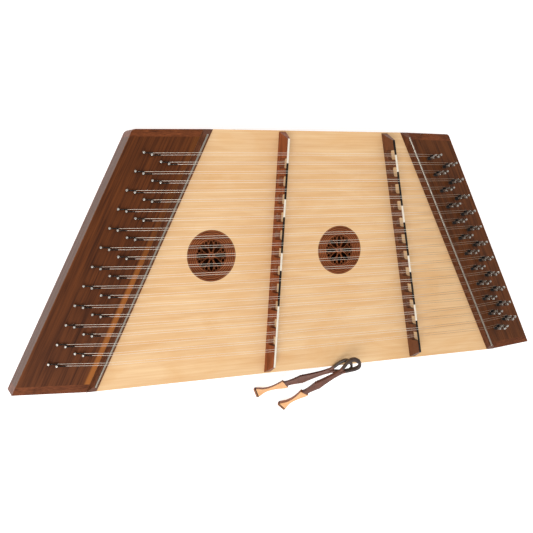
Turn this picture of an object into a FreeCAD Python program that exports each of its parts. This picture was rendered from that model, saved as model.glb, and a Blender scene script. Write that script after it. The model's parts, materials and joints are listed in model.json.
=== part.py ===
"""Hammered dulcimer with 23 double courses, its tuning pins, bridges and two hammers.

Millimetres, +Z up, +X along the long side from the hitch pins to the tuning pins, +Y from the
long front edge to the short back edge. The origin is the middle of the flat underside.
"""

import FreeCAD
import Part
import math
import os

# ---- body -------------------------------------------------------------------------------------
depth = 410.0  # front edge to back edge
front_half = 503.0  # half length of the body along the front edge
end_slope = 0.489  # how much shorter each half is for each millimetre towards the back
body_height = 78.0  # underside to the top of the soundboard
back_corner_radius = 8.0  # the two upright back corners
board_thickness = 5.0
back_thickness = 5.0
rail_thickness = 12.0
board_half = 394.0  # half length of the soundboard along the front edge
block_lip_width = 24.0  # ledge on each pin block that carries the soundboard
block_thickness = 40.0
end_wall_thickness = 18.0
block_step = 1.5  # pin block top below the soundboard top where they meet
outer_edge_drop = 29.0  # pin block top below the soundboard top at the outer edge

# ---- rosettes and braces ----------------------------------------------------------------------
hole_radius = 42.4
left_hole_x = -183.0
right_hole_x = 55.0
rosette_thickness = 3.0
rosette_inner_radius = 26.0
petal_count = 8
brace_thickness = 12.0
brace_arch_width = 70.0
brace_arch_height = 34.0

# ---- bridges and rods -------------------------------------------------------------------------
treble_front_x = -85.0  # where the treble bridge meets the front edge
treble_back_x = -54.0
bass_front_x = 208.7
bass_back_x = 144.2
bridge_base_width = 12.0
bridge_top_width = 4.8
bridge_rod_height = 28.3  # rod axis above the soundboard
bridge_rod_dia = 3.5
bridge_seat = 0.9  # how deep each bridge rod sits in the wood
bridge_end_gap = 2.0  # soundboard edge to the foot of the bridge
bridge_end_bevel = 13.0
window_width = 16.3
window_sill = 6.0
window_radius = 4.0
side_rod_x = 386.0  # side rod axis at the front edge
side_rod_height = 10.4
side_rod_dia = 3.2
side_rod_seat = 1.0
side_bridge_width = 16.0
side_bridge_top_width = 9.0
side_bridge_end_bevel = 9.0
side_rod_end_gap = 9.0

# ---- pins and strings -------------------------------------------------------------------------
first_course_y = 46.0  # hitch pins of the front treble course, from the front edge
last_course_gap = 38.62  # hitch pins of the rear treble course, from the back edge
treble_courses = 12
bass_courses = 11
treble_hitch_x = 469.1  # at the front edge, on the pin block's top
bass_hitch_x = 436.7
treble_tuning_x = 429.0
bass_tuning_x = 461.7
tuning_shift = -4.1  # tuning pins are this much nearer the front than the hitch pins
hitch_pair_x = 12.0
hitch_pair_y = -3.5
tuning_pair_x = -7.5
tuning_pair_y = -3.6
hitch_dia = 2.4
hitch_head_dia = 4.2
hitch_head_height = 1.8
hitch_above = 11.0
hitch_below = 16.0
tuning_dia = 5.0
tuning_above = 27.0
tuning_below = 26.0
tuning_clearance = 0.05
tuning_square = 4.0
tuning_square_height = 10.0
coil_base = 3.5
coil_height = 4.5
coil_wall = 0.6
treble_string_dia = 0.45
bass_string_dia = 0.55
string_lift = 0.02  # strings clear the bridge rods by this
side_rod_bend = 1.1  # extra height of a string's corner over a side rod
string_side_gap = 0.12  # strings clear the coils by this
loop_height = 4.0  # string loops above the pin block

# ---- hammers ----------------------------------------------------------------------------------
hammer_length = 184.0
hammer_head_length = 58.0
hammer_head_width = 17.0
hammer_neck_width = 5.5
hammer_flare_width = 15.0
hammer_thickness = 8.0
handle_neck_width = 8.0
handle_diamond_width = 14.0
handle_diamond_at = 90.0
loop_outer_width = 25.0
loop_length = 46.0
loop_band = 4.5
rest_gap = 0.3  # between a hammer and what it rests on
rear_hammer_x = -75.6  # middle of the striking end
rear_hammer_out = 52.6  # in front of the body
rear_hammer_turn = 22.2  # degrees from the front edge
front_hammer_x = -25.2
front_hammer_out = 83.0
front_hammer_turn = 46.8

half_depth = depth / 2.0
board_underside = body_height - board_thickness
block_angle = math.degrees(math.atan2(outer_edge_drop - block_step, front_half - board_half))
treble_slope = (treble_back_x - treble_front_x) / depth
bass_slope = (bass_back_x - bass_front_x) / depth
bridge_rise = bridge_rod_dia / 2.0 + string_lift
coil_radius = tuning_dia / 2.0 + coil_wall
course_pitch = (depth - first_course_y - last_course_gap) / (treble_courses - 1)


def vec(x, y, z):
    return FreeCAD.Vector(x, y, z)


def save(shape, name):
    shape.exportStep(os.path.join("parts", name + ".step"))


def join(shapes):
    solid = shapes[0].multiFuse(shapes[1:])
    return solid.removeSplitter()


def trapezoid(half, y0, y1, z0, z1):
    """Prism with both ends on the body's slope; half is its half length at the front edge."""
    h0 = half - end_slope * y0
    h1 = half - end_slope * y1
    a = y0 - half_depth
    b = y1 - half_depth
    points = [vec(-h0, a, z0), vec(h0, a, z0), vec(h1, b, z0), vec(-h1, b, z0), vec(-h0, a, z0)]
    face = Part.Face(Part.makePolygon(points))
    return face.extrude(vec(0, 0, z1 - z0))


def top_of_block(x, y):
    """Height of the sloping pin block top at |x|, with y from the front edge."""
    out = x + end_slope * y - board_half
    return body_height - block_step - out * math.tan(math.radians(block_angle))


def prism_between(lower, upper):
    """Solid with flat faces between two outlines of four corners each."""
    faces = [Part.Face(Part.makePolygon(points + [points[0]])) for points in (lower, upper)]
    for i in range(4):
        j = (i + 1) % 4
        corners = [lower[i], lower[j], upper[j], upper[i], lower[i]]
        faces.append(Part.Face(Part.makePolygon(corners)))
    solid = Part.Solid(Part.Shell(faces))
    if solid.Volume < 0.0:
        solid.reverse()
    return solid


def slope_cutter(side):
    """Everything above the sloping top of one pin block."""
    far = front_half + 40.0
    far_drop = (far - board_half) * math.tan(math.radians(block_angle))
    top = body_height + 60.0
    step = body_height - block_step
    outlines = []
    for y in (-30.0, depth + 30.0):
        inner = side * (board_half - end_slope * y)
        outer = side * (far - end_slope * y)
        yy = y - half_depth
        corners = [(inner, step), (outer, step - far_drop), (outer, top), (inner, top)]
        outlines.append([vec(x, yy, z) for x, z in corners])
    return prism_between(outlines[0], outlines[1])


def hull():
    """The outside of the closed body, below the soundboard's top."""
    solid = trapezoid(front_half, 0.0, depth, 0.0, body_height)
    for side in (-1.0, 1.0):
        solid = solid.cut(slope_cutter(side))
    uprights = []
    for edge in solid.Edges:
        box = edge.BoundBox
        upright = box.ZLength > 20.0 and box.XLength < 0.01 and box.YLength < 0.01
        if upright and box.YMin > half_depth - 1.0:
            uprights.append(edge)
    return solid.makeFillet(back_corner_radius, uprights)


def soundboard():
    board = trapezoid(board_half, 0.0, depth, board_underside, body_height)
    for x in (left_hole_x, right_hole_x):
        board = board.cut(Part.makeCylinder(hole_radius, 40.0, vec(x, 0, body_height - 20.0)))
    return board


def back_board(outside):
    slab = trapezoid(front_half + 20.0, -10.0, depth + 10.0, 0.0, back_thickness)
    return outside.common(slab)


def rail(outside, y0, y1):
    slab = trapezoid(front_half + 20.0, y0, y1, back_thickness, body_height)
    piece = outside.common(slab)
    seat = trapezoid(board_half, -10.0, depth + 10.0, board_underside, body_height + 5.0)
    return piece.cut(seat)


def pin_block(outside, side):
    """Laminated block with the soundboard ledge inside and the end wall outside."""
    y0 = rail_thickness
    y1 = depth - rail_thickness
    inner = board_half - block_lip_width
    slab = trapezoid(front_half + 20.0, y0, y1, back_thickness, body_height)
    piece = outside.common(slab)
    piece = piece.cut(trapezoid(inner, -10.0, depth + 10.0, 0.0, body_height + 5.0))
    wall = front_half - end_wall_thickness
    piece = piece.cut(trapezoid(wall, -10.0, depth + 10.0, 0.0, board_underside - block_thickness))
    piece = piece.cut(trapezoid(board_half, -10.0, depth + 10.0, board_underside, body_height + 5.0))
    far = 2.0 * front_half
    return piece.common(Part.makeBox(far, far, far, vec(0 if side > 0 else -far, -front_half, -far / 2)))


def brace(front_x, slope):
    """Upright brace under one bridge, from the back board to the soundboard, with three arches."""
    y0 = rail_thickness
    y1 = depth - rail_thickness
    w = brace_thickness / 2.0
    a = front_x + slope * y0
    b = front_x + slope * y1
    corners = [(a - w, y0), (a + w, y0), (b + w, y1), (b - w, y1), (a - w, y0)]
    base = Part.makePolygon([vec(x, y - half_depth, back_thickness) for x, y in corners])
    solid = Part.Face(base).extrude(vec(0, 0, board_underside - back_thickness))
    for offset in (-120.0, 0.0, 120.0):
        y = offset - brace_arch_width / 2.0
        x = front_x + slope * (offset + half_depth)
        z = back_thickness + 14.0
        arch = Part.makeBox(60.0, brace_arch_width, brace_arch_height, vec(x - 30.0, y, z))
        lengthwise = [e for e in arch.Edges if e.BoundBox.XLength > 50.0]
        solid = solid.cut(arch.makeFillet(14.0, lengthwise))
    return solid


def rosette(x):
    """Plain pierced disc: a ring of petals and a ring of round holes round one in the middle."""
    top = body_height - 0.4
    z = top - rosette_thickness
    disc = Part.makeCylinder(hole_radius, rosette_thickness, vec(x, 0, z))
    cuts = [Part.makeCylinder(3.0, 20.0, vec(x, 0, z - 5.0))]
    for i in range(petal_count):
        turn = 360.0 * i / petal_count
        petal = Part.makeCylinder(5.2, 20.0, vec(x + rosette_inner_radius - 8.0, 0, z - 5.0))
        petal.rotate(vec(x, 0, 0), vec(0, 0, 1), turn)
        cuts.append(petal)
        bead = Part.makeCylinder(2.4, 20.0, vec(x + rosette_inner_radius - 16.0, 0, z - 5.0))
        bead.rotate(vec(x, 0, 0), vec(0, 0, 1), turn + 180.0 / petal_count)
        cuts.append(bead)
    return disc.cut(cuts)


def rod_between(start, end, diameter):
    line = end.sub(start)
    return Part.makeCylinder(diameter / 2.0, line.Length, start, line)


def bridge_rod(front_x, slope):
    gap = bridge_end_gap + bridge_end_bevel
    z = body_height + bridge_rod_height
    start = vec(front_x + slope * gap, gap - half_depth, z)
    end = vec(front_x + slope * (depth - gap), half_depth - gap, z)
    return rod_between(start, end, bridge_rod_dia)


def side_rod(side):
    gap = side_rod_end_gap
    z = body_height + side_rod_height
    start = vec(side * (side_rod_x - end_slope * gap), gap - half_depth, z)
    end = vec(side * (side_rod_x - end_slope * (depth - gap)), half_depth - gap, z)
    return rod_between(start, end, side_rod_dia)


def tapered_bar(front_x, slope, gap, bevel, width, top_width, height):
    """Long bar on the soundboard, with sloping sides and both ends bevelled."""
    outlines = []
    for z, w, g in ((0.0, width, gap), (height, top_width, gap + bevel)):
        half = w / 2.0
        x0 = front_x + slope * g
        x1 = front_x + slope * (depth - g)
        y0 = g - half_depth
        y1 = half_depth - g
        corners = [(x0 - half, y0), (x0 + half, y0), (x1 + half, y1), (x1 - half, y1)]
        outlines.append([vec(x, y, body_height + z) for x, y in corners])
    return prism_between(outlines[0], outlines[1])


def bridge(front_x, slope, window_ys):
    """Tall bridge: a post under each of its own courses, a window for each of the others."""
    height = bridge_rod_height - bridge_rod_dia / 2.0 + bridge_seat
    bar = tapered_bar(
        front_x, slope, bridge_end_gap, bridge_end_bevel, bridge_base_width, bridge_top_width, height
    )
    for course_y in window_ys:
        y = course_y + hitch_pair_y / 2.0
        x = front_x + slope * y
        corner = vec(x - 20.0, y - window_width / 2.0 - half_depth, body_height + window_sill)
        window = Part.makeBox(40.0, window_width, 60.0, corner)
        low = [e for e in window.Edges if e.BoundBox.XLength > 30.0 and e.BoundBox.ZMax < corner.z + 1.0]
        bar = bar.cut(window.makeFillet(window_radius, low))
    return bar.cut(bridge_rod(front_x, slope))


def side_bridge(side):
    height = side_rod_height - side_rod_dia / 2.0 + side_rod_seat
    bar = tapered_bar(
        side * side_rod_x,
        -side * end_slope,
        0.0,
        side_bridge_end_bevel,
        side_bridge_width,
        side_bridge_top_width,
        height,
    )
    return bar.cut(side_rod(side))


def treble_ys():
    return [first_course_y + course_pitch * i for i in range(treble_courses)]


def bass_ys():
    return [first_course_y + course_pitch * (i + 0.5) for i in range(bass_courses)]


def pin_feet(side, row_x, ys, pair_x, pair_y):
    """Feet of a row of pins on one pin block's top, two for each course."""
    feet = []
    for y in ys:
        for dx, dy in ((0.0, 0.0), (pair_x, pair_y)):
            x = side * (row_x - end_slope * y) + dx
            z = top_of_block(abs(x), y + dy)
            feet.append(vec(x, y + dy - half_depth, z))
    return feet


def hitch_feet(row_x, ys):
    return pin_feet(-1.0, row_x, ys, hitch_pair_x, hitch_pair_y)


def tuning_feet(row_x, ys):
    shifted = [y + tuning_shift for y in ys]
    return pin_feet(1.0, row_x, shifted, tuning_pair_x, tuning_pair_y)


def pin_axis(side):
    """Square to the sloping top of the pin block."""
    lean = math.tan(math.radians(block_angle))
    axis = vec(side * lean, lean * end_slope, 1.0)
    return axis.normalize()


def along(point, axis, distance):
    return point.add(FreeCAD.Vector(axis).multiply(distance))


def hitch_pin(foot):
    axis = pin_axis(-1.0)
    low = along(foot, axis, -hitch_below)
    shank = Part.makeCylinder(hitch_dia / 2.0, hitch_below + hitch_above, low, axis)
    head_at = along(foot, axis, hitch_above - hitch_head_height)
    head = Part.makeCylinder(hitch_head_dia / 2.0, hitch_head_height, head_at, axis)
    head = head.makeFillet(hitch_head_height * 0.6, [head.Edges[0]])
    return join([shank, head])


def square_key(foot, axis):
    """Tall square bar about the pin's axis, used to square the top of a tuning pin."""
    half = tuning_square / 2.0
    bar = Part.makeBox(tuning_square, tuning_square, 60.0, vec(-half, -half, 0))
    bar.Placement = FreeCAD.Placement(foot, FreeCAD.Rotation(vec(0, 0, 1), axis))
    return bar


def tuning_pin(foot):
    axis = pin_axis(1.0)
    low = along(foot, axis, -tuning_below)
    shank = Part.makeCylinder(tuning_dia / 2.0, tuning_below + tuning_above, low, axis)
    shank = shank.makeChamfer(0.6, [e for e in shank.Edges if len(e.Vertexes) == 1])
    top_at = along(foot, axis, tuning_above - tuning_square_height)
    collar = Part.makeCylinder(tuning_dia, 60.0, top_at, axis)
    shank = shank.cut(collar.cut(square_key(top_at, axis)))
    coil = Part.makeCylinder(coil_radius, coil_height, along(foot, axis, coil_base), axis)
    return join([shank, coil])


def bore(foot, axis, below, diameter):
    return Part.makeCylinder(diameter / 2.0, below + 20.0, along(foot, axis, -below), axis)


def string(hitch, tuning, front_x, slope, diameter):
    """One string from its hitch pin, over a side rod, its bridge and the other side rod, to its coil."""
    left_axis = pin_axis(-1.0)
    right_axis = pin_axis(1.0)
    radius = diameter / 2.0
    start = along(hitch, left_axis, loop_height)
    start = start.add(vec(hitch_dia / 2.0 + radius + 0.05, 0, 0))
    side_gap = coil_radius + radius + string_side_gap
    end = along(tuning, right_axis, coil_base + coil_height / 2.0)
    end = end.add(vec(0, side_gap, 0))
    drift = (end.y - start.y) / (end.x - start.x)
    points = [start]
    side_rise = (side_rod_dia / 2.0 + radius) * side_rod_bend
    stations = (
        (-side_rod_x, end_slope, side_rod_height + side_rise),
        (front_x, slope, bridge_rod_height + bridge_rise + radius),
        (side_rod_x, -end_slope, side_rod_height + side_rise),
    )
    for x0, k, z in stations:
        x = (x0 + k * (start.y - drift * start.x + half_depth)) / (1.0 - k * drift)
        points.append(vec(x, start.y + drift * (x - start.x), body_height + z))
    points.append(end)
    path = Part.makePolygon(points)
    first = points[1].sub(points[0])
    section = Part.Wire(Part.Edge(Part.Circle(points[0], first, radius)))
    return path.makePipeShell([section], True, False, 1)


def string_set():
    strings = []
    rows = (
        (treble_hitch_x, treble_tuning_x, treble_ys(), treble_front_x, treble_slope, treble_string_dia),
        (bass_hitch_x, bass_tuning_x, bass_ys(), bass_front_x, bass_slope, bass_string_dia),
    )
    for hitch_x, tuning_x, ys, front_x, slope, diameter in rows:
        pairs = zip(hitch_feet(hitch_x, ys), tuning_feet(tuning_x, ys))
        for hitch, tuning in pairs:
            strings.append(string(hitch, tuning, front_x, slope, diameter))
    return strings


def spline_outline(points):
    """Closed flat outline through the points, with straight ends."""
    curve = Part.BSplineCurve()
    curve.interpolate([vec(x, y, 0) for x, y in points])
    return curve.toShape()


def mirrored_plate(profile, thickness):
    """Flat plate with the same curved edge on both sides of its long axis."""
    upper = spline_outline(profile)
    lower = spline_outline([(x, -y) for x, y in profile])
    x0, y0 = profile[0]
    x1, y1 = profile[-1]
    ends = [
        Part.makeLine(vec(x0, -y0, 0), vec(x0, y0, 0)),
        Part.makeLine(vec(x1, y1, 0), vec(x1, -y1, 0)),
    ]
    wire = Part.Wire(Part.__sortEdges__([upper, lower] + ends))
    face = Part.Face(wire)
    plate = face.extrude(vec(0, 0, thickness))
    plate.translate(vec(0, 0, -thickness / 2.0))
    return plate


def hammer_head():
    half = hammer_head_width / 2.0
    neck = hammer_neck_width / 2.0
    flare = hammer_flare_width / 2.0
    length = hammer_head_length
    profile = [
        (0.0, half),
        (length * 0.12, half * 0.86),
        (length * 0.30, neck * 1.35),
        (length * 0.50, neck),
        (length * 0.72, neck * 1.5),
        (length, flare),
    ]
    return mirrored_plate(profile, hammer_thickness)


def hammer_handle():
    """Handle from the joint to the finger loop, with a diamond swell."""
    neck = handle_neck_width / 2.0
    wide = handle_diamond_width / 2.0
    at = handle_diamond_at
    ring_start = hammer_length - loop_length
    profile = [
        (hammer_head_length, neck * 1.2),
        (hammer_head_length + 8.0, neck * 0.95),
        (at - 8.0, wide * 0.80),
        (at, wide),
        (at + 8.0, wide * 0.78),
        (ring_start - 12.0, neck * 0.85),
        (ring_start + 6.0, neck * 1.05),
    ]
    return mirrored_plate(profile, hammer_thickness)


def finger_loop():
    """Open pear-shaped loop at the end of the handle."""
    start = hammer_length - loop_length
    band = loop_band
    half = loop_outer_width / 2.0
    radius = half
    centre = hammer_length - radius
    outer = loop_outline(start, centre, radius, 2.0)
    inner = loop_outline(start + 2.5 * band, centre, radius - band, 1.0)
    ring = outer.cut(inner)
    ring.translate(vec(0, 0, -hammer_thickness / 2.0))
    return ring


def loop_outline(start, centre, radius, tip_half):
    tall = hammer_thickness
    disc = Part.makeCylinder(radius, tall, vec(centre, 0, 0))
    reach = centre - start
    lean = math.asin((radius - tip_half) / reach)
    x = centre - radius * math.sin(lean)
    y = radius * math.cos(lean)
    corners = [vec(start, -tip_half, 0), vec(start, tip_half, 0), vec(x, y, 0), vec(x, -y, 0)]
    wedge = Part.Face(Part.makePolygon(corners + [corners[0]])).extrude(vec(0, 0, tall))
    return disc.fuse(wedge).removeSplitter()


def hammer():
    """Hammer along +X from its striking end, with its flat sides up and down."""
    handle = join([hammer_handle(), finger_loop()])
    return [hammer_head(), handle]


def place_hammer(x, out, heading, rise):
    """Stand the striking end on the ground, with the finger loop up and towards the body."""
    turn = FreeCAD.Rotation(vec(0, 0, 1), heading)
    tilt = FreeCAD.Rotation(vec(0, 1, 0), -rise)
    lift = hammer_thickness / 2.0 * math.cos(math.radians(rise))
    stand = FreeCAD.Placement(vec(x, -half_depth - out, lift), turn.multiply(tilt))
    placed = []
    for shape in hammer():
        shape.Placement = stand.multiply(shape.Placement)
        placed.append(shape)
    return Part.makeCompound(placed)


def settle_hammer(x, out, heading, supports):
    """Lower the finger loop until the hammer is rest_gap above the first thing under it."""
    low = 5.0
    high = 75.0
    while high - low > 0.01:
        rise = (low + high) / 2.0
        if place_hammer(x, out, heading, rise).distToShape(supports)[0] < rest_gap:
            low = rise
        else:
            high = rise
    return place_hammer(x, out, heading, high)


def main():
    os.makedirs("parts", exist_ok=True)
    outside = hull()
    save(soundboard(), "soundboard")
    save(back_board(outside), "back_board")
    rails = [rail(outside, 0.0, rail_thickness), rail(outside, depth - rail_thickness, depth)]
    save(Part.makeCompound(rails), "rails")
    braces = [brace(treble_front_x, treble_slope), brace(bass_front_x, bass_slope)]
    save(Part.makeCompound(braces), "braces")
    save(Part.makeCompound([rosette(left_hole_x), rosette(right_hole_x)]), "rosettes")
    treble = bridge(treble_front_x, treble_slope, bass_ys())
    bass = bridge(bass_front_x, bass_slope, treble_ys())
    save(Part.makeCompound([treble, bass]), "bridges")
    save(Part.makeCompound([side_bridge(-1.0), side_bridge(1.0)]), "side_bridges")
    rods = [bridge_rod(treble_front_x, treble_slope), bridge_rod(bass_front_x, bass_slope)]
    rods += [side_rod(-1.0), side_rod(1.0)]
    save(Part.makeCompound(rods), "string_rods")

    hitches = hitch_feet(treble_hitch_x, treble_ys()) + hitch_feet(bass_hitch_x, bass_ys())
    hitch_bores = [bore(foot, pin_axis(-1.0), hitch_below, hitch_dia) for foot in hitches]
    save(pin_block(outside, -1.0).cut(hitch_bores), "hitch_pin_block")
    save(Part.makeCompound([hitch_pin(foot) for foot in hitches]), "hitch_pins")

    bore_dia = tuning_dia + 2.0 * tuning_clearance
    bore_depth = tuning_below + 1.0
    treble_feet = tuning_feet(treble_tuning_x, treble_ys())
    bass_feet = tuning_feet(bass_tuning_x, bass_ys())
    tuning_bores = [bore(foot, pin_axis(1.0), bore_depth, bore_dia) for foot in treble_feet + bass_feet]
    save(pin_block(outside, 1.0).cut(tuning_bores), "tuning_pin_block")
    for row, feet in (("treble", treble_feet), ("bass", bass_feet)):
        for i, foot in enumerate(feet):
            course = i // 2 + 1
            save(tuning_pin(foot), "tuning_pin_%s_%02d%s" % (row, course, "ab"[i % 2]))

    save(Part.makeCompound(string_set()), "strings")
    rear = settle_hammer(rear_hammer_x, rear_hammer_out, rear_hammer_turn, outside)
    below = Part.makeCompound([outside, rear])
    front = settle_hammer(front_hammer_x, front_hammer_out, front_hammer_turn, below)
    save(rear, "hammer_rear")
    save(front, "hammer_front")


main()
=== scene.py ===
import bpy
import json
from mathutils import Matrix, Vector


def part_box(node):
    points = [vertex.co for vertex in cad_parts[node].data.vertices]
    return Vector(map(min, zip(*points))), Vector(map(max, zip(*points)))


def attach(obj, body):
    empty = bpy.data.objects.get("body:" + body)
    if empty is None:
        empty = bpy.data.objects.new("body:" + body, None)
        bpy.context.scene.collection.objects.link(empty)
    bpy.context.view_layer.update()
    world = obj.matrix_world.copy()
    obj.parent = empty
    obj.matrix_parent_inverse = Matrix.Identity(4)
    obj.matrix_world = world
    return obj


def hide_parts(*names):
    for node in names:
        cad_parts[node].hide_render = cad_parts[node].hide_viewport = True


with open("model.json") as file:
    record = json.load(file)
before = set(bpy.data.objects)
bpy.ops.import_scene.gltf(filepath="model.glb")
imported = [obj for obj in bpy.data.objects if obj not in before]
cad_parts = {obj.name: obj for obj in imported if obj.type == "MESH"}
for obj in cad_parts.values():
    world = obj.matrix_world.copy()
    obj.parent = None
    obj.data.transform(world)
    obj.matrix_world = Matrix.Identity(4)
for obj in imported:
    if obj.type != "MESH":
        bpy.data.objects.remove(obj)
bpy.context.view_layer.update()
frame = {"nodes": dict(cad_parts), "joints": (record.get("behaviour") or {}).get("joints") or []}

# Looks of a hammered dulcimer: boards, turned pins, wound wire, spliced bridge rods and hammers.
#
# Metres, in the frame of the CAD model: +X from the hitch pins to the tuning pins, +Y to the back,
# +Z up. Sizes of small parts are written in millimetres and multiplied by MM.

import json
import math

import bmesh
import bpy
from mathutils import Matrix, Vector

MM = 0.001
nodes = frame["nodes"]
board_low, board_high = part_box("soundboard")
board_top = board_high.z
front_edge = board_low.y

# ---- sizes shared with the CAD model, mm ------------------------------------------------------
END_SLOPE = 0.489  # how much each half narrows for each millimetre towards the back
BOARD_HALF = 394.0  # half length of the soundboard at its front edge
BRIDGES = {"treble": (-85.0, -54.0), "bass": (208.7, 144.2)}  # x at the front and back edges
ROD_HEIGHT = 28.3
ROD_DIA = 3.5
ROD_GAP = 15.0  # body's edge to the end of a bridge rod
SIDE_ROD_X = 386.0
SIDE_ROD_HEIGHT = 10.4
SIDE_ROD_DIA = 3.2
SIDE_ROD_GAP = 9.0
FIRST_COURSE = 46.0
COURSE_PITCH = 29.58
PAIR_SHIFT = -1.75  # windows sit this much in front of the hitch pins of their course
BLOCK_STEP = 1.5  # pin block's top below the soundboard's, where they meet
BLOCK_LEAN = 27.5 / 109.0  # fall of the pin block's top towards the outer edge
HITCH_ROWS = {"treble": (469.1, 12, 0.0), "bass": (436.7, 11, 0.5)}  # x, pairs, first course
HITCH_PAIR = (12.0, -3.5)  # from the first pin of a pair to the second
HITCH_RADIUS = 1.2
LOOP_HEIGHT = 4.0  # string loops above the pin block
ROSETTES_X = (-183.0, 55.0)
ROSETTE_RADIUS = 42.3
ROSETTE_TOP = -0.4  # below the soundboard's top
HAMMERS = {  # x of the striking end, distance in front of the body, turn and rise in degrees
    "hammer_rear": (-75.6, 52.6, 22.2, 32.17),
    "hammer_front": (-25.2, 83.0, 46.8, 42.28),
}
HAMMER_THICK = 8.0
BODY_DEPTH = 410.0

# ---- sizes of the details, mm -----------------------------------------------------------------
BLOCK_EDGES = (263.9, 361.8)  # inner and outer edge of a pin block, square out from the middle
COIL_FOOT = 2.0  # lowest turn of wire above the pin block
GROOVES = (29.4, 32.6, 35.8, 39.0)  # radii of the grooves turned in a rosette's rim
ACETAL_WAVE = 8.333
STRING_OVER_ROD = 2.0  # a string's middle above the middle of a side rod


# ---- hand tools -------------------------------------------------------------------------------
def deselect_all():
    if bpy.context.object and bpy.context.object.mode != "OBJECT":
        bpy.ops.object.mode_set(mode="OBJECT")
    bpy.ops.object.select_all(action="DESELECT")


def named(name):
    """The object just added, with its own name."""
    piece = bpy.context.object
    piece.name = name
    piece.data.name = name
    return piece


def settle(piece):
    """Puts the piece's place into its mesh, with its object at the origin."""
    deselect_all()
    piece.select_set(True)
    bpy.context.view_layer.objects.active = piece
    bpy.ops.object.transform_apply(location=True, rotation=True, scale=True)
    return piece


def edit(piece):
    """Opens one piece in edit mode, to work on its corners."""
    deselect_all()
    piece.select_set(True)
    bpy.context.view_layer.objects.active = piece
    bpy.ops.object.mode_set(mode="EDIT")
    bpy.ops.mesh.select_mode(type="VERT")


def grab(piece, wanted):
    """Selects the corners whose place passes the test, with the edges and faces between them."""
    bpy.ops.mesh.select_all(action="DESELECT")
    mesh = bmesh.from_edit_mesh(piece.data)
    for corner in mesh.verts:
        corner.select_set(bool(wanted(corner.co)))
    mesh.select_flush(True)
    bmesh.update_edit_mesh(piece.data)


def grab_edges(piece, wanted):
    """Selects the edges whose two ends pass the test."""
    bpy.ops.mesh.select_all(action="DESELECT")
    mesh = bmesh.from_edit_mesh(piece.data)
    for edge in mesh.edges:
        edge.select_set(bool(wanted(edge.verts[0].co, edge.verts[1].co)))
    bmesh.update_edit_mesh(piece.data)


def close_up(piece):
    """Merges doubled corners, closes open ends and turns every face outwards."""
    bpy.ops.mesh.select_all(action="SELECT")
    bpy.ops.mesh.remove_doubles(threshold=0.000001)
    bpy.ops.mesh.select_all(action="DESELECT")
    bpy.ops.mesh.select_non_manifold(extend=False)
    bpy.ops.mesh.edge_face_add()
    bpy.ops.mesh.select_all(action="SELECT")
    bpy.ops.mesh.normals_make_consistent(inside=False)
    bpy.ops.object.mode_set(mode="OBJECT")
    return piece


def smooth(piece, angle=35.0):
    deselect_all()
    piece.select_set(True)
    bpy.context.view_layer.objects.active = piece
    bpy.ops.object.shade_smooth_by_angle(angle=math.radians(angle))
    return piece


def apply_modifier(piece, kind, **settings):
    deselect_all()
    piece.select_set(True)
    bpy.context.view_layer.objects.active = piece
    modifier = piece.modifiers.new(kind.lower(), kind)
    for key, value in settings.items():
        setattr(modifier, key, value)
    bpy.ops.object.modifier_apply(modifier=modifier.name)
    return piece


def round_edges(piece, width, segments=2, angle=40.0):
    return apply_modifier(
        piece,
        "BEVEL",
        width=width,
        segments=segments,
        limit_method="ANGLE",
        angle_limit=math.radians(angle),
    )


def turned(name, profile, sides, ring=False):
    """A piece turned on a lathe about Z; profile is its (radius, height) list in mm from the start.

    A ring's profile comes back to its start, and any other profile is closed by its end faces."""
    deselect_all()
    radius, height = profile[0]
    bpy.ops.mesh.primitive_circle_add(
        vertices=sides, radius=radius * MM, location=(0, 0, height * MM), fill_type="NOTHING"
    )
    piece = settle(named(name))
    edit(piece)
    bpy.ops.mesh.select_all(action="SELECT")
    steps = profile[1:] + (profile[:1] if ring else [])
    for next_radius, next_height in steps:
        rise = (next_height - height) * MM
        bpy.ops.mesh.extrude_region_move(TRANSFORM_OT_translate={"value": (0, 0, rise)})
        ratio = next_radius / radius
        middle = (0, 0, next_height * MM)
        bpy.ops.transform.resize(value=(ratio, ratio, 1.0), center_override=middle)
        radius, height = next_radius, next_height
    return close_up(piece)


def sawn_plate(name, stations, thickness):
    """A flat plate sawn to an outline: a strip of sections, each a pair of (x, y) points in mm."""
    deselect_all()
    bpy.ops.mesh.primitive_plane_add(size=2 * MM)
    piece = settle(named(name))
    edit(piece)
    (left_front, left_back), (right_front, right_back) = stations[:2]
    corners = {
        (-1, -1): left_front,
        (-1, 1): left_back,
        (1, -1): right_front,
        (1, 1): right_back,
    }
    for (sx, sy), (x, y) in corners.items():
        start = Vector((sx * MM, sy * MM, 0.0))
        shift_corner(piece, start, Vector((x * MM, y * MM, 1.0)) - start)
    bpy.ops.mesh.select_all(action="SELECT")
    bpy.ops.transform.translate(value=(0, 0, -1.0))
    for last, following in zip(stations[1:], stations[2:]):
        old = [Vector((x * MM, y * MM, 0.0)) for x, y in last]
        new = [Vector((x * MM, y * MM, 0.0)) for x, y in following]
        grab(piece, lambda place: min((place - point).length for point in old) < 0.00001)
        bpy.ops.mesh.extrude_region_move(TRANSFORM_OT_translate={"value": (0, 0, 1.0)})
        for start, end in zip(old, new):
            lifted = start + Vector((0, 0, 1.0))
            shift_corner(piece, lifted, end - lifted)
    bpy.ops.mesh.select_all(action="SELECT")
    bpy.ops.mesh.remove_doubles(threshold=0.00001)
    bpy.ops.mesh.extrude_region_move(TRANSFORM_OT_translate={"value": (0, 0, thickness * MM)})
    bpy.ops.mesh.select_all(action="SELECT")
    bpy.ops.transform.translate(value=(0, 0, -thickness * MM / 2.0))
    bpy.ops.mesh.normals_make_consistent(inside=False)
    bpy.ops.object.mode_set(mode="OBJECT")
    return piece


def shift_corner(piece, start, move):
    grab(piece, lambda place: (place - start).length < 0.00001)
    bpy.ops.transform.translate(value=move)


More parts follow.
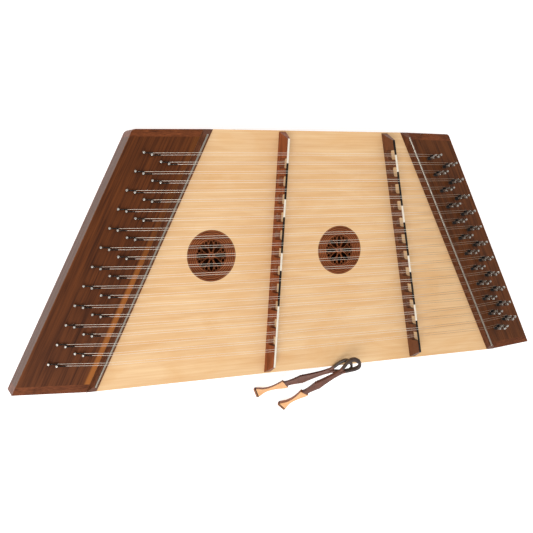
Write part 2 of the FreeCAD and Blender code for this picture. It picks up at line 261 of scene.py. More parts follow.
def wound(name, radius, wire, pitch, turns, steps, sides):
    """Wire wound round Z from height 0, sizes in mm."""
    deselect_all()
    bpy.ops.mesh.primitive_circle_add(
        vertices=sides,
        radius=wire * MM / 2.0,
        location=(radius * MM, 0, wire * MM / 2.0),
        rotation=(math.pi / 2.0, 0, 0),
        fill_type="NOTHING",
    )
    piece = settle(named(name))
    apply_modifier(
        piece,
        "SCREW",
        axis="Z",
        angle=2.0 * math.pi,
        iterations=turns,
        screw_offset=pitch * MM,
        steps=steps,
        render_steps=steps,
    )
    edit(piece)
    return close_up(piece)


def copy_at(model, name, place):
    """A copy with its own mesh, moved to its place."""
    piece = model.copy()
    piece.data = model.data.copy()
    piece.name = name
    piece.data.name = name
    bpy.context.collection.objects.link(piece)
    piece.data.transform(place)
    return piece


def joined(name, pieces):
    deselect_all()
    for piece in pieces:
        piece.select_set(True)
    bpy.context.view_layer.objects.active = pieces[0]
    bpy.ops.object.join()
    return named(name)


def discard(*models):
    for model in models:
        bpy.data.objects.remove(model, do_unlink=True)


def pointing(start, direction):
    """Stands a piece made about Z at a point, with its Z along a direction."""
    turn = direction.to_track_quat("Z", "Y").to_matrix().to_4x4()
    return Matrix.Translation(start) @ turn


def put_on(piece, body, slot, material, *replaced):
    """Gives a finished piece its material, the body it moves with and the nodes it stands for."""
    if not piece.data.materials:
        piece.data.materials.append(material)
    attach(piece, body)
    if replaced:
        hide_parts(*replaced)
    return piece


# ---- materials --------------------------------------------------------------------------------
def colour(code):
    """Linear colour of an sRGB hex code."""
    parts = [int(code[i : i + 2], 16) / 255.0 for i in (1, 3, 5)]
    return [p / 12.92 if p <= 0.04045 else ((p + 0.055) / 1.055) ** 2.4 for p in parts] + [1.0]


def new_material(name):
    material = bpy.data.materials.new(name)
    material.use_nodes = True
    return material


def shader(material):
    return material.node_tree.nodes["Principled BSDF"]


def add_node(material, kind, settings=(), links=()):
    """Adds a node; a setting is a property or an input's value, and a link is an input's source."""
    node = material.node_tree.nodes.new(kind)
    for key, value in dict(settings).items():
        if isinstance(key, str) and hasattr(node, key):
            setattr(node, key, value)
        else:
            node.inputs[key].default_value = value
    for key, source in dict(links).items():
        material.node_tree.links.new(source, node.inputs[key])
    return node


def link(material, source, name):
    material.node_tree.links.new(source, shader(material).inputs[name])


def finish_with(material, **values):
    for key, value in values.items():
        shader(material).inputs[key.replace("_", " ")].default_value = value


def place_on(material):
    """Where on the instrument a point of the surface is, in metres."""
    nodes_used = material.node_tree.nodes
    return next(n for n in nodes_used if n.bl_idname == "ShaderNodeTexCoord").outputs["Object"]


def tint(material, where, code):
    """Turns the surface towards a colour, as far as `where` says from 0 to 1."""
    before = shader(material).inputs["Base Color"].links[0].from_socket
    tinted = add_node(
        material, "ShaderNodeMix", {"data_type": "RGBA", 7: colour(code)}, {0: where, 6: before}
    )
    link(material, tinted.outputs[2], "Base Color")


def grained_wood(name, pale, dark, grain_turn, ring, streak, roughness, relief, bands=0.45):
    """Plain-sawn or quartered wood: fine grain lines and broad streaks along one direction.

    grain_turn is that direction in degrees from X. ring and streak are the spacing of the lines
    and of the broad bands in mm; the lines are about twice as far apart as real ones, which would
    be too fine to show. relief is the depth of the lines in mm, and bands how much of the tone
    comes from the broad bands."""
    material = new_material(name)
    place = add_node(material, "ShaderNodeTexCoord")
    along_grain = add_node(
        material,
        "ShaderNodeMapping",
        {"Rotation": (0, 0, -math.radians(grain_turn))},
        {"Vector": place.outputs["Object"]},
    )
    lengthwise = add_node(
        material,
        "ShaderNodeMapping",
        {"Scale": (0.02, 1.0, 1.0)},
        {"Vector": along_grain.outputs["Vector"]},
    )
    wandering = add_node(
        material,
        "ShaderNodeMapping",
        {"Scale": (0.1, 1.0, 1.0)},
        {"Vector": along_grain.outputs["Vector"]},
    )
    lines = add_node(
        material,
        "ShaderNodeTexNoise",
        {"Scale": 1000.0 / ring, "Detail": 3.0, "Roughness": 0.6, "Distortion": 0.3},
        {"Vector": lengthwise.outputs["Vector"]},
    )
    broad = add_node(
        material,
        "ShaderNodeTexNoise",
        {"Scale": 1000.0 / streak, "Detail": 2.0, "Roughness": 0.5, "Distortion": 0.6},
        {"Vector": wandering.outputs["Vector"]},
    )
    line_depth = add_node(
        material,
        "ShaderNodeMapRange",
        {"From Min": 0.35, "From Max": 0.7},
        {"Value": lines.outputs[0]},
    )
    broad_depth = add_node(
        material,
        "ShaderNodeMapRange",
        {"From Min": 0.3, "From Max": 0.7},
        {"Value": broad.outputs[0]},
    )
    depth = add_node(
        material,
        "ShaderNodeMix",
        {"data_type": "FLOAT", 0: bands},
        {2: line_depth.outputs["Result"], 3: broad_depth.outputs["Result"]},
    )
    shade = add_node(
        material,
        "ShaderNodeMix",
        {"data_type": "RGBA", 6: colour(pale), 7: colour(dark)},
        {0: depth.outputs[0]},
    )
    bump = add_node(
        material,
        "ShaderNodeBump",
        {"Strength": 0.3, "Distance": relief * MM, "invert": True},
        {"Height": line_depth.outputs["Result"]},
    )
    polish = add_node(
        material,
        "ShaderNodeMapRange",
        {"To Min": roughness - 0.05, "To Max": roughness + 0.08},
        {"Value": depth.outputs[0]},
    )
    link(material, shade.outputs[2], "Base Color")
    link(material, bump.outputs["Normal"], "Normal")
    link(material, polish.outputs["Result"], "Roughness")
    return material


def clouded_board(material, deeper, cloud):
    """Adds the soft clouds and waves of deeper tone that the lacquer brings up in a wide board.

    cloud is their width across the grain, mm."""
    stretched = add_node(
        material, "ShaderNodeMapping", {"Scale": (0.3, 1.0, 1.0)}, {"Vector": place_on(material)}
    )
    clouds = add_node(
        material,
        "ShaderNodeTexNoise",
        {"Scale": 1000.0 / cloud, "Detail": 4.0, "Roughness": 0.55, "Distortion": 1.2},
        {"Vector": stretched.outputs["Vector"]},
    )
    depth = add_node(
        material,
        "ShaderNodeMapRange",
        {"From Min": 0.42, "From Max": 0.68, "To Max": 0.42},
        {"Value": clouds.outputs[0]},
    )
    tint(material, depth.outputs["Result"], deeper)


def shaded_end_faces(material, end_face_shade):
    """Painted shade: darkens the upright faces at the two ends of the instrument."""
    surface = add_node(material, "ShaderNodeNewGeometry")
    facing = add_node(
        material, "ShaderNodeSeparateXYZ", (), {"Vector": surface.outputs["True Normal"]}
    )
    sideways = add_node(
        material, "ShaderNodeMath", {"operation": "ABSOLUTE"}, {0: facing.outputs["X"]}
    )
    side = add_node(
        material,
        "ShaderNodeMapRange",
        {"From Min": 0.6, "From Max": 0.7, "To Max": 0.9},
        {"Value": sideways.outputs["Value"]},
    )
    # Painted shade on the upright end faces.
    tint(material, side.outputs["Result"], end_face_shade)


def block_edges(material, strip, edge, inner, outer):
    """Lays a paler streak along a pin block's inner edge, strongest towards the front, and a
    painted highlight along its outer edge.

    inner and outer are the distances of those edges from the middle of the body, mm."""
    turned_nodes = (n for n in material.node_tree.nodes if n.bl_idname == "ShaderNodeMapping")
    along_grain = next(n for n in turned_nodes if n.inputs["Rotation"].default_value[2])
    across = add_node(
        material, "ShaderNodeSeparateXYZ", (), {"Vector": along_grain.outputs["Vector"]}
    )
    out = add_node(
        material, "ShaderNodeMath", {"operation": "ABSOLUTE"}, {0: across.outputs["Y"]}
    )
    place = add_node(material, "ShaderNodeSeparateXYZ", (), {"Vector": place_on(material)})
    fade = add_node(
        material,
        "ShaderNodeMapRange",
        {
            "interpolation_type": "SMOOTHSTEP",
            "From Min": (inner + 5.0) * MM,
            "From Max": (inner + 9.5) * MM,
            "To Min": 0.9,
            "To Max": 0.0,
        },
        {"Value": out.outputs["Value"]},
    )
    front = add_node(
        material,
        "ShaderNodeMapRange",
        {
            "interpolation_type": "SMOOTHSTEP",
            "From Min": 60.0 * MM,
            "From Max": -60.0 * MM,
            "To Min": 0.2,
        },
        {"Value": place.outputs["Y"]},
    )
    painted_edge_highlight = add_node(
        material,
        "ShaderNodeMapRange",
        {"From Min": (outer - 1.6) * MM, "From Max": (outer - 0.4) * MM, "To Max": 0.5},
        {"Value": out.outputs["Value"]},
    )
    streak = add_node(
        material,
        "ShaderNodeMath",
        {"operation": "MULTIPLY"},
        {0: fade.outputs["Result"], 1: front.outputs["Result"]},
    )
    tint(material, streak.outputs["Value"], strip)
    # Painted highlight along the block's outer edge.
    tint(material, painted_edge_highlight.outputs["Result"], edge)


def painted_groove_shade(material, centre_x, spacing, first, dark):
    """Painted shade: darkens the bottoms of the turned grooves of a disc round (centre_x, 0), all
    in mm.
    """
    centred = add_node(
        material,
        "ShaderNodeMapping",
        {"Location": (-centre_x * MM, 0, 0), "Scale": (1, 1, 0)},
        {"Vector": place_on(material)},
    )
    radius = add_node(
        material,
        "ShaderNodeVectorMath",
        {"operation": "LENGTH"},
        {"Vector": centred.outputs["Vector"]},
    )
    turns = add_node(
        material,
        "ShaderNodeMapRange",
        {
            "clamp": False,
            "From Min": first * MM,
            "From Max": (first + spacing) * MM,
            "To Max": 2.0 * math.pi,
        },
        {"Value": radius.outputs["Value"]},
    )
    wave = add_node(
        material, "ShaderNodeMath", {"operation": "COSINE"}, {0: turns.outputs["Result"]}
    )
    groove_shade_depth = add_node(
        material,
        "ShaderNodeMapRange",
        {"From Min": 0.2, "From Max": 0.9, "To Max": 0.75},
        {"Value": wave.outputs["Value"]},
    )
    # Painted shade in the grooves.
    tint(material, groove_shade_depth.outputs["Result"], dark)
    return material


def carved_windows(material, end_grain_and_shade, browner, sill_glint):
    """Darkens the faces that look front and back, partly for the darker end grain and partly as
    painted shade on the walls of the windows; turns the bass bridge browner; and lays painted
    glints in patches on the low sills of the windows."""
    surface = add_node(material, "ShaderNodeNewGeometry")
    facing = add_node(
        material, "ShaderNodeSeparateXYZ", (), {"Vector": surface.outputs["True Normal"]}
    )
    sideways = add_node(
        material, "ShaderNodeMath", {"operation": "ABSOLUTE"}, {0: facing.outputs["Y"]}
    )
    place = add_node(material, "ShaderNodeSeparateXYZ", (), {"Vector": place_on(material)})
    end_grain_shade = add_node(
        material,
        "ShaderNodeMapRange",
        {"From Min": 0.88, "From Max": 0.98, "To Max": 0.8},
        {"Value": sideways.outputs["Value"]},
    )
    bass = add_node(
        material,
        "ShaderNodeMapRange",
        {"From Min": 80.0 * MM, "From Max": 90.0 * MM, "To Max": 0.6},
        {"Value": place.outputs["X"]},
    )
    low = add_node(
        material,
        "ShaderNodeMapRange",
        {"From Min": board_top + 10.0 * MM, "From Max": board_top + 7.0 * MM},
        {"Value": place.outputs["Z"]},
    )
    upward = add_node(
        material,
        "ShaderNodeMapRange",
        {"From Min": 0.6, "From Max": 0.9},
        {"Value": facing.outputs["Z"]},
    )
    patches = add_node(
        material,
        "ShaderNodeTexNoise",
        {"Scale": 1000.0 / 5.0, "Detail": 2.0},
        {"Vector": place_on(material)},
    )
    glint_patches = add_node(
        material,
        "ShaderNodeMapRange",
        {"From Min": 0.5, "From Max": 0.65},
        {"Value": patches.outputs[0]},
    )
    on_sill = add_node(
        material,
        "ShaderNodeMath",
        {"operation": "MULTIPLY"},
        {0: low.outputs["Result"], 1: upward.outputs["Result"]},
    )
    painted_sill_glint = add_node(
        material,
        "ShaderNodeMath",
        {"operation": "MULTIPLY"},
        {0: on_sill.outputs["Value"], 1: glint_patches.outputs["Result"]},
    )
    # Darker end grain, with painted shade on the walls of the windows.
    tint(material, end_grain_shade.outputs["Result"], end_grain_and_shade)
    tint(material, bass.outputs["Result"], browner)
    # Painted glints on the sills of the windows.
    tint(material, painted_sill_glint.outputs["Value"], sill_glint)


def worn_metal(name, base, roughness, spot, metallic=1.0):
    """Drawn or plated metal: its polish and tone vary a little over spots of a size in mm."""
    material = new_material(name)
    finish_with(material, Metallic=metallic)
    place = add_node(material, "ShaderNodeTexCoord")
    mottle = add_node(
        material,
        "ShaderNodeTexNoise",
        {"Scale": 1000.0 / spot, "Detail": 3.0},
        {"Vector": place.outputs["Object"]},
    )
    polish = add_node(
        material,
        "ShaderNodeMapRange",
        {"To Min": roughness - 0.08, "To Max": roughness + 0.12},
        {"Value": mottle.outputs[0]},
    )
    tone = add_node(
        material,
        "ShaderNodeMix",
        {"data_type": "RGBA", 6: colour(base[0]), 7: colour(base[1])},
        {0: mottle.outputs[0]},
    )
    link(material, tone.outputs[2], "Base Color")
    link(material, polish.outputs["Result"], "Roughness")
    return material


def painted_shade_on_wire_end(material, end_shade, first, last):
    """Painted shade: darkens the wire to the right of the bridges, where it catches no light; first
    and last are how far right the change starts and ends, mm."""
    place = add_node(material, "ShaderNodeSeparateXYZ", (), {"Vector": place_on(material)})
    painted_end_shade = add_node(
        material,
        "ShaderNodeMapRange",
        {
            "interpolation_type": "SMOOTHSTEP",
            "From Min": first * MM,
            "From Max": last * MM,
            "To Max": 0.85,
        },
        {"Value": place.outputs["X"]},
    )
    tint(material, painted_end_shade.outputs["Result"], end_shade)


def moulded_plastic(name, base, roughness):
    """Extruded and polished acetal rod: even colour with a faint waviness from extrusion."""
    material = new_material(name)
    place = add_node(material, "ShaderNodeTexCoord")
    cloud = add_node(
        material,
        "ShaderNodeTexNoise",
        {"Scale": 1000.0 / ACETAL_WAVE, "Detail": 2.0},
        {"Vector": place.outputs["Object"]},
    )
    tone = add_node(
        material,
        "ShaderNodeMix",
        {"data_type": "RGBA", 6: colour(base[0]), 7: colour(base[1])},
        {0: cloud.outputs[0]},
    )
    ripple = add_node(
        material,
        "ShaderNodeBump",
        {"Strength": 0.15, "Distance": 0.05 * MM},
        {"Height": cloud.outputs[0]},
    )
    finish_with(material, Roughness=roughness, IOR=1.48)
    link(material, tone.outputs[2], "Base Color")
    link(material, ripple.outputs["Normal"], "Normal")
    return material


# Quartered spruce under a thin satin lacquer: pale straw, straight fine grain from end to end and
# soft clouds of a deeper tone. Its two end edges are painted darker as shade, to match the side
# bridges.
spruce_top = grained_wood(
    "satin_lacquered_spruce", "#f4ce9c", "#e2b27c", 0.0, 3.0, 14.0, 0.5, 0.02, bands=0.4
)
clouded_board(spruce_top, "#e0a866", 40.0)
shaded_end_faces(spruce_top, "#4a2814")
# Walnut under satin lacquer: warm brown with dark streaks along the length of each piece. The left
# block has a streak of orange sapwood, and both blocks have a painted highlight along their outer
# edges.
walnut_long = grained_wood(
    "satin_lacquered_walnut_rails", "#844726", "#42200f", 0.0, 1.8, 8.0, 0.42, 0.04
)
walnut_left = grained_wood(
    "satin_lacquered_walnut_left", "#6c3919", "#321609", 63.94, 2.2, 9.0, 0.42, 0.04
)
walnut_right = grained_wood(
    "satin_lacquered_walnut_right", "#74401d", "#33190a", 116.06, 2.2, 9.0, 0.42, 0.04
)
# The second colour is a painted highlight along each block's outer edge.
block_edges(walnut_left, "#a8642a", "#8a5430", *BLOCK_EDGES)
# Painted shade on the left block's upright end wall.
shaded_end_faces(walnut_left, "#54321f")
block_edges(walnut_right, "#6c3a1a", "#8a5430", *BLOCK_EDGES)
# Oiled rosewood bridges: red-brown with dark open pores, a soft sheen on the carved faces.
rosewood = grained_wood("oiled_rosewood", "#a35b35", "#602e18", 88.0, 1.4, 6.0, 0.42, 0.05)
# The first colour is end grain with painted shade in the windows; the last is a painted glint on
# the sills.
carved_windows(rosewood, "#34180c", "#57402f", "#94674e")
rosewood_side = grained_wood(
    "oiled_rosewood_side", "#74452c", "#472617", 90.0, 1.4, 6.0, 0.42, 0.05
)
# Turned rosewood discs, redder where the lathe has burnished them, with painted shade in the
# grooves.
rosewood_discs = [
    painted_groove_shade(
        grained_wood(name, "#aa643c", "#5a2a14", 0.0, 1.6, 7.0, 0.4, 0.05),
        x,
        GROOVES[1] - GROOVES[0],
        GROOVES[0],
        "#2c130a",
    )
    for name, x in zip(("turned_rosewood_left", "turned_rosewood_right"), ROSETTES_X)
]
# Bare spruce braces, never seen but through the sound holes.
spruce_bare = grained_wood("bare_spruce", "#8a6a45", "#6e5233", 90.0, 2.5, 12.0, 0.6, 0.05)
# Oil and thin lacquer leave dark wood with little gloss.
for wood in (walnut_long, walnut_left, walnut_right, rosewood, rosewood_side, *rosewood_discs):
    finish_with(wood, Specular_IOR_Level=0.1)
# Nickel plated steel pins: bright grey with a faint warm tint and fine polish marks.
nickel = worn_metal("nickel_plate", ("#d8d3cb", "#a9a49c"), 0.22, 2.0)
# Drawn music wire, paler than bare steel as a painted glint from the left block to the bridges.
music_wire = worn_metal("drawn_music_wire", ("#fff6ea", "#f2e4d2"), 0.35, 4.0, metallic=0.35)
# Painted shade on the strings to the right of the bridges.
painted_shade_on_wire_end(music_wire, "#8d6e52", 170.0, 250.0)
# Wire wound tight on the pins and twisted at the loops: painted near black, as the shade between
# its turns and under the loops.
wound_wire = worn_metal("wound_wire", ("#211e1c", "#0f0d0c"), 0.5, 1.0, metallic=0.3)
# Ground steel rod of the side bridges, dulled by the strings.
steel_rod = worn_metal("ground_steel_rod", ("#b3aa9d", "#938a7e"), 0.3, 6.0)
# Acetal rods, one colour for each stretch of courses: creamy white, and black with less gloss.
white_acetal = moulded_plastic("white_acetal", ("#efe7d9", "#e0d5c2"), 0.35)
black_acetal = moulded_plastic("black_acetal", ("#14100d", "#1f1813"), 0.4)
finish_with(black_acetal, Specular_IOR_Level=0.15)
# Oiled cherry hammer heads, with painted shade on their sawn edges, and dark oiled walnut handles.
cherry = grained_wood("oiled_cherry", "#f8c28c", "#e6a56a", 30.0, 1.2, 7.0, 0.5, 0.04)
cherry_shaded_edges = grained_wood("oiled_cherry_edges", "#a9683f", "#7a4426", 30.0, 0.8, 4.0, 0.55, 0.04)
walnut_handle = grained_wood(
    "oiled_walnut_handle", "#7d4d3c", "#4c2d22", 30.0, 1.0, 6.0, 0.5, 0.05
)
walnut_loop = grained_wood("darkened_walnut_loop", "#4a3730", "#241a17", 30.0, 1.0, 5.0, 0.45, 0.05)
# Glued leather on the striking ends: matt dark brown, with short dark creases.
leather = grained_wood("striking_leather", "#3a2620", "#1f1410", 0.0, 0.6, 3.0, 0.8, 0.1)


# ---- carried-over nodes -----------------------------------------------------------------------
def dress(node, material):
    for place in nodes[node].material_slots:
        place.material = material


dress("soundboard", spruce_top)
dress("back_board", walnut_long)
dress("rails", walnut_long)
dress("braces", spruce_bare)
dress("hitch_pin_block", walnut_left)
dress("tuning_pin_block", walnut_right)
dress("bridges", rosewood)
dress("side_bridges", rosewood_side)
dress("hitch_pins", nickel)
dress("strings", music_wire)


# ---- bridge rods ------------------------------------------------------------------------------
def point_on_bridge(bridge, y, height):
    """Point of a bridge's centre line at y mm from the front edge, in metres."""
    front, back = BRIDGES[bridge]
    x = front + (back - front) * y / BODY_DEPTH
    return Vector((x * MM, front_edge + y * MM, board_top + height * MM))


def chamfered_rod(name, start, end, diameter):
    """Round rod between two points, its ends chamfered."""
    length = (end - start).length / MM
    r = diameter / 2.0
    c = 0.35
    rod = turned(name, [(r - c, 0.0), (r, c), (r, length - c), (r - c, length)], 24)
    rod.data.transform(pointing(start, end - start))
    return smooth(rod)


def window_line(j, half_course):
    """Distance from the front edge of the middle of window j, mm."""
    return FIRST_COURSE + COURSE_PITCH * (j + half_course) + PAIR_SHIFT


# How far a bridge's first window is behind the front treble course, in courses, and then the
# stretches from the front: window where each starts, window where it ends, white or black. None
# is the rod's end. The windows of one bridge let the courses of the other one through.
ROD_STRETCHES = {
    "treble": (
        0.5,
        [
            (None, 2, "w"),
            (2, 4, "b"),
            (4, 5, "w"),
            (5, 7, "b"),
            (7, 8, "w"),
            (8, 10, "b"),
            (10, None, "w"),
        ],
    ),
    "bass": (
        0.0,
        [
            (None, 1, "b"),
            (1, 2, "w"),
            (2, 4, "b"),
            (4, 5, "w"),
            (5, 7, "b"),
            (7, 8, "w"),
            (8, 10, "b"),
            (10, 11, "w"),
            (11, None, "b"),
        ],
    ),
}
for bridge, (half_course, stretches) in ROD_STRETCHES.items():
    for i, (first, last, shade) in enumerate(stretches):
        y0 = ROD_GAP if first is None else window_line(first, half_course)
        y1 = BODY_DEPTH - ROD_GAP if last is None else window_line(last, half_course)
        start = point_on_bridge(bridge, y0, ROD_HEIGHT)
        end = point_on_bridge(bridge, y1, ROD_HEIGHT)
        rod = chamfered_rod(f"{bridge}_rod_{i + 1}", start, end, ROD_DIA)
        acetal = white_acetal if shade == "w" else black_acetal
        put_on(rod, "body", "rod_white", acetal, "string_rods")
for side, name in ((-1.0, "left_side_rod"), (1.0, "right_side_rod")):
    ends = []
    for y in (SIDE_ROD_GAP, BODY_DEPTH - SIDE_ROD_GAP):
        x = side * (SIDE_ROD_X - END_SLOPE * y)
        ends.append(Vector((x * MM, front_edge + y * MM, board_top + SIDE_ROD_HEIGHT * MM)))
    put_on(chamfered_rod(name, *ends, SIDE_ROD_DIA), "body", "nickel", steel_rod, "string_rods")


# ---- tuning pins ------------------------------------------------------------------------------
def tuning_pin_model():
    """Round shank, chamfered at the foot, with a squared and tapered key end."""
    shank = turned("shank", [(1.9, -26.0), (2.5, -25.4), (2.5, 16.6), (2.1, 17.2)], 24)
    deselect_all()
    bpy.ops.mesh.primitive_cube_add(size=1.0, location=(0, 0, 21.9 * MM))
    bpy.context.object.scale = (4 * MM, 4 * MM, 10.2 * MM)
    key = settle(named("key"))
    edit(key)
    grab_edges(key, lambda a, b: abs(a.x - b.x) < 0.1 * MM and abs(a.y - b.y) < 0.1 * MM)
    bpy.ops.mesh.bevel(offset=0.65 * MM, segments=2, affect="EDGES")
    grab(key, lambda place: place.z > 26.0 * MM)
    bpy.ops.transform.resize(value=(0.86, 0.86, 1.0))
    bpy.ops.object.mode_set(mode="OBJECT")
    round_edges(key, 0.25 * MM)
    return smooth(joined("tuning_pin_model", [shank, key]))


pin_model = tuning_pin_model()
coil_model = smooth(wound("coil_model", 2.8, 0.6, 0.62, 11, 14, 6), 60.0)
tuning_joints = [j for j in frame["joints"] if j["name"].startswith("turn_")]
for joint in tuning_joints:
    node = joint["child"]
    at = pointing(Vector(joint["pos_m"]), Vector(joint["axis"]))
    label = node.replace("tuning_pin_", "")
    pin = copy_at(pin_model, f"pin_{label}", at)
    put_on(pin, node, "nickel", nickel, node)
    coil = copy_at(coil_model, f"coil_{label}", at @ Matrix.Translation((0, 0, COIL_FOOT * MM)))
    put_on(coil, node, "steel_wire", wound_wire, node)
discard(pin_model, coil_model)


# ---- string loops on the hitch pins -----------------------------------------------------------
def hitch_places():
    """Foot of each hitch pin on the sloping block, in metres."""
    places = []
    for row, (row_x, count, half) in HITCH_ROWS.items():
        for i in range(count):
            y = FIRST_COURSE + COURSE_PITCH * (i + half)
            for dx, dy in ((0.0, 0.0), HITCH_PAIR):
                x = -(row_x - END_SLOPE * y) + dx
                out = -x + END_SLOPE * (y + dy) - BOARD_HALF
                z = -BLOCK_STEP - out * BLOCK_LEAN
                places.append(Vector((x * MM, front_edge + (y + dy) * MM, board_top + z * MM)))
    return places


def string_loops():
    """Each string's end: an eye round its hitch pin and the wire twisted back along the string."""
    lean = Vector((-BLOCK_LEAN, BLOCK_LEAN * END_SLOPE, 1.0)).normalized()
    eye = turned("eye_model", [(1.25, 0.0), (1.75, -0.6), (2.25, 0.0), (1.75, 0.6)], 16, ring=True)
    twist = wound("twist_model", 0.6, 1.25, 1.35, 9, 8, 5)
    made = []
    for foot in hitch_places():
        at_pin = foot + lean * LOOP_HEIGHT * MM
        start = at_pin + Vector(((HITCH_RADIUS + 0.3) * MM, 0, 0))
        y = (foot.y - front_edge) / MM
        rod_x = -(SIDE_ROD_X - END_SLOPE * y) * MM
        string_z = board_top + (SIDE_ROD_HEIGHT + STRING_OVER_ROD) * MM
        reach = Vector((rod_x, foot.y, string_z))
        made.append(copy_at(eye, "eye", pointing(at_pin, lean)))
        made.append(copy_at(twist, "twist", pointing(start, reach - start)))
    discard(eye, twist)
    return smooth(joined("string_loops", made), 60.0)


put_on(string_loops(), "body", "steel_wire", wound_wire)


# ---- rosettes ---------------------------------------------------------------------------------
def rosette_rim():
    """Outer ring with turned grooves."""
    profile = [(25.6, -3.0), (25.6, -0.6), (26.2, 0.0)]
    for r in GROOVES:
        profile += [(r - 0.8, 0.0), (r - 0.35, -0.9), (r + 0.35, -0.9), (r + 0.8, 0.0)]
    profile += [(ROSETTE_RADIUS - 0.3, 0.0), (ROSETTE_RADIUS, -0.3), (ROSETTE_RADIUS, -3.0)]
    return turned("rim", profile, 96, ring=True)


def fretted_ring(name, half_x, half_y, bar, thickness):
    """Oval ring of even bar width, as cut with a fretsaw."""
    deselect_all()
    bpy.ops.mesh.primitive_circle_add(vertices=32, radius=1.0, fill_type="NGON")
    ring = named(name)
    ring.scale = (half_x * MM, half_y * MM, 1.0)
    settle(ring)
    edit(ring)
    bpy.ops.mesh.select_all(action="SELECT")
    bpy.ops.mesh.inset(thickness=bar * MM, depth=0.0)
    bpy.ops.mesh.delete(type="FACE")
    bpy.ops.mesh.select_all(action="SELECT")
    bpy.ops.mesh.extrude_region_move(TRANSFORM_OT_translate={"value": (0, 0, -thickness * MM)})
    bpy.ops.mesh.select_all(action="SELECT")
    bpy.ops.mesh.normals_make_consistent(inside=False)
    bpy.ops.object.mode_set(mode="OBJECT")
    return round_edges(ring, 0.25 * MM, 1)


def rosette_model():
    """Grooved rim, eight fretted petals, eight beads and a turned middle."""
    petal = fretted_ring("petal", 10.9, 4.9, 1.1, 2.4)
    bead = fretted_ring("bead", 3.8, 3.8, 1.0, 2.2)
    middle = [(2.2, -2.6), (2.2, -0.4), (3.0, 0.0), (4.6, 0.0), (5.6, -0.8), (5.6, -2.6)]
    parts = [rosette_rim(), turned("middle", middle, 48, ring=True)]
    for i in range(8):
        turn = Matrix.Rotation(math.radians(45.0 * i), 4, "Z")
        half_turn = Matrix.Rotation(math.radians(45.0 * i + 22.5), 4, "Z")
        petal_out = Matrix.Translation((15.6 * MM, 0, -0.3 * MM))
        parts.append(copy_at(petal, "petal", turn @ petal_out))
        bead_out = Matrix.Translation((22.4 * MM, 0, -0.5 * MM))
        parts.append(copy_at(bead, "bead", half_turn @ bead_out))
    discard(petal, bead)
    return smooth(joined("rosette_model", parts))


rosette = rosette_model()
for x, name, wood in zip(ROSETTES_X, ("left_rosette", "right_rosette"), rosewood_discs):
    disc = copy_at(rosette, name, Matrix.Translation((x * MM, 0, board_top + ROSETTE_TOP * MM)))
    put_on(disc, "body", "dark_wood", wood, "rosettes")
discard(rosette)


# ---- hammers ----------------------------------------------------------------------------------
def eased(points, steps=5):
    """More points on a smooth curve through the given ones."""
    ends = [points[0]] + points + [points[-1]]
    out = []
    for a, b, c, d in zip(ends, ends[1:], ends[2:], ends[3:]):
        for k in range(steps):
            t = k / steps
            out.append(
                tuple(
                    q
                    + 0.5 * (r - p) * t
                    + 0.5 * (2 * p - 5 * q + 4 * r - s) * t**2
                    + 0.5 * (3 * q - p - 3 * r + s) * t**3
                    for p, q, r, s in zip(a, b, c, d)
                )
            )
    return out + [points[-1]]


def even_sections(profile):
    """Sections of a plate that is the same on both sides of its long axis."""
    return [((x, -half), (x, half)) for x, half in profile]


def hammer_head():
    """Bow-tie head, square at the striking end and cut on the slant where the handle is let in."""
    profile = eased([(0.0, 8.5), (7.0, 7.3), (17.4, 3.7), (29.0, 2.75), (41.8, 4.1), (54.0, 6.9)])
    sections = even_sections(profile) + [((60.5, -7.2), (55.5, 7.4))]
    return round_edges(sawn_plate("head", sections, HAMMER_THICK), 0.6 * MM)


def hammer_handle():
    """Handle with a notched diamond swell, ending where the finger loop starts."""
    profile = eased([(56.0, 4.6), (66.0, 3.9), (82.0, 5.7), (89.0, 7.0)], 4)
    profile += [(90.2, 6.0)] + eased([(92.0, 6.6), (99.0, 5.4), (126.0, 3.4), (142.0, 3.9)], 4)
    return round_edges(sawn_plate("handle", even_sections(profile), HAMMER_THICK - 0.4), 0.7 * MM)


def finger_loop():
    """Pear-shaped band from the end of the handle round the fingertip and back."""
    outer = [(136.0, -1.8), (148.0, -5.4), (158.0, -9.2), (166.0, -11.8)]
    outer += [(174.0, -12.2), (181.0, -8.4), (184.0, 0.0)]
    inner = [(146.0, -0.2), (152.0, -2.4), (160.0, -5.4), (167.0, -7.6)]
    inner += [(173.0, -7.6), (178.0, -4.8), (179.4, 0.0)]
    lower = list(zip(eased(inner, 4), eased(outer, 4)))
    upper = [((ix, -iy), (ox, -oy)) for (ix, iy), (ox, oy) in reversed(lower[:-1])]
    return round_edges(sawn_plate("loop", lower + upper, HAMMER_THICK - 0.4), 0.9 * MM)


def two_tone(piece, main, other, chosen):
    """Gives the faces that pass the test the second material."""
    piece.data.materials.append(main)
    piece.data.materials.append(other)
    for face in piece.data.polygons:
        face.material_index = int(chosen(face))
    return piece


def shaded_edge_face(face):
    """Faces of a hammer's head that show its edge or its striking end, which get painted shade."""
    return abs(face.normal.z) < 0.5 or face.center.x < 2.4 * MM


def leather_pad():
    """Strip of leather let in across the head behind the striking end."""
    sections = even_sections([(2.4, 8.35), (3.6, 8.25), (4.8, 8.05)])
    return round_edges(sawn_plate("pad", sections, HAMMER_THICK + 0.3), 0.3 * MM)


def hammer_place(x, out, turn, rise):
    """Stands the lower edge of the striking end on the ground, with the loop up and to the back."""
    lift = HAMMER_THICK / 2.0 * math.cos(math.radians(rise))
    at = Matrix.Translation((x * MM, front_edge - out * MM, lift * MM))
    heading = Matrix.Rotation(math.radians(turn), 4, "Z")
    return at @ heading @ Matrix.Rotation(math.radians(-rise), 4, "Y")


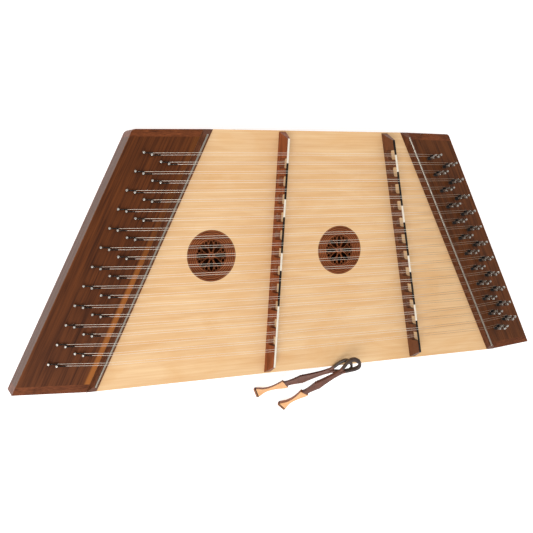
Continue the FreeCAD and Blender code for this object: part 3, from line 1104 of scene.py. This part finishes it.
head = smooth(hammer_head())
# The sawn edges and striking end get the darker cherry as painted shade.
two_tone(head, cherry, cherry_shaded_edges, shaded_edge_face)
handle = smooth(joined("handle_model", [hammer_handle(), finger_loop()]))
two_tone(handle, walnut_handle, walnut_loop, lambda face: face.center.x > 150.0 * MM)
pad = smooth(leather_pad())
for node, (x, out, turn, rise) in HAMMERS.items():
    at = hammer_place(x, out, turn, rise)
    put_on(copy_at(head, f"{node}_head", at), node, "hammer_wood", cherry, node)
    put_on(copy_at(handle, f"{node}_handle", at), node, "hammer_wood", walnut_handle, node)
    put_on(copy_at(pad, f"{node}_pad", at), node, "hammer_wood", leather, node)
discard(head, handle, pad)


# ---- floor, light and camera ------------------------------------------------------------------
def studio():
    deselect_all()
    bpy.ops.mesh.primitive_plane_add(size=80.0, location=(0, 0, -0.0004))
    floor = settle(named("floor"))
    paper = new_material("white_paper_floor")
    finish_with(paper, Base_Color=colour("#fbfbfb"), Roughness=0.9)
    finish_with(paper, Emission_Color=(1, 1, 1, 1), Emission_Strength=0.55)
    floor.data.materials.append(paper)
    world = bpy.data.worlds.new("studio")
    bpy.context.scene.world = world
    world.use_nodes = True
    sky = world.node_tree.nodes["Background"]
    sky.inputs["Color"].default_value = (1, 1, 1, 1)
    # The backdrop lights the instrument at 0.62 and is itself seen as white as the floor.
    seen = add_node(world, "ShaderNodeLightPath")
    glow = add_node(
        world, "ShaderNodeMapRange", {"To Min": 0.62}, {"Value": seen.outputs["Is Camera Ray"]}
    )
    world.node_tree.links.new(glow.outputs["Result"], sky.inputs["Strength"])


def soft_box(name, at, target, width, power):
    deselect_all()
    bpy.ops.object.light_add(type="AREA", location=at)
    light = bpy.context.object
    light.name = name
    light.data.size = width
    light.data.energy = power
    light.rotation_mode = "QUATERNION"
    light.rotation_quaternion = (Vector(target) - Vector(at)).to_track_quat("-Z", "Y")


studio()
soft_box("key", (-1.3, -0.9, 2.2), (0, 0, 0), 1.2, 32.0)
soft_box("fill", (0.6, 1.4, 2.2), (0, 0, 0), 1.8, 8.0)

deselect_all()
bpy.ops.object.camera_add(location=(-0.66476, 0.12544, 1.38427))
camera = bpy.context.object
across = Vector((0.91366, -0.00720, 0.40641))
upward = Vector((0.04834, 0.99467, -0.09104))
back = Vector((-0.40359, 0.10283, 0.90914))
camera.rotation_mode = "QUATERNION"
camera.rotation_quaternion = Matrix((across, upward, back)).transposed().to_quaternion()
camera.data.lens = 57.61
camera.data.sensor_width = 36.0
camera.data.clip_start = 0.05
bpy.context.scene.camera = camera
bpy.context.scene.view_settings.view_transform = "Standard"

deselect_all()
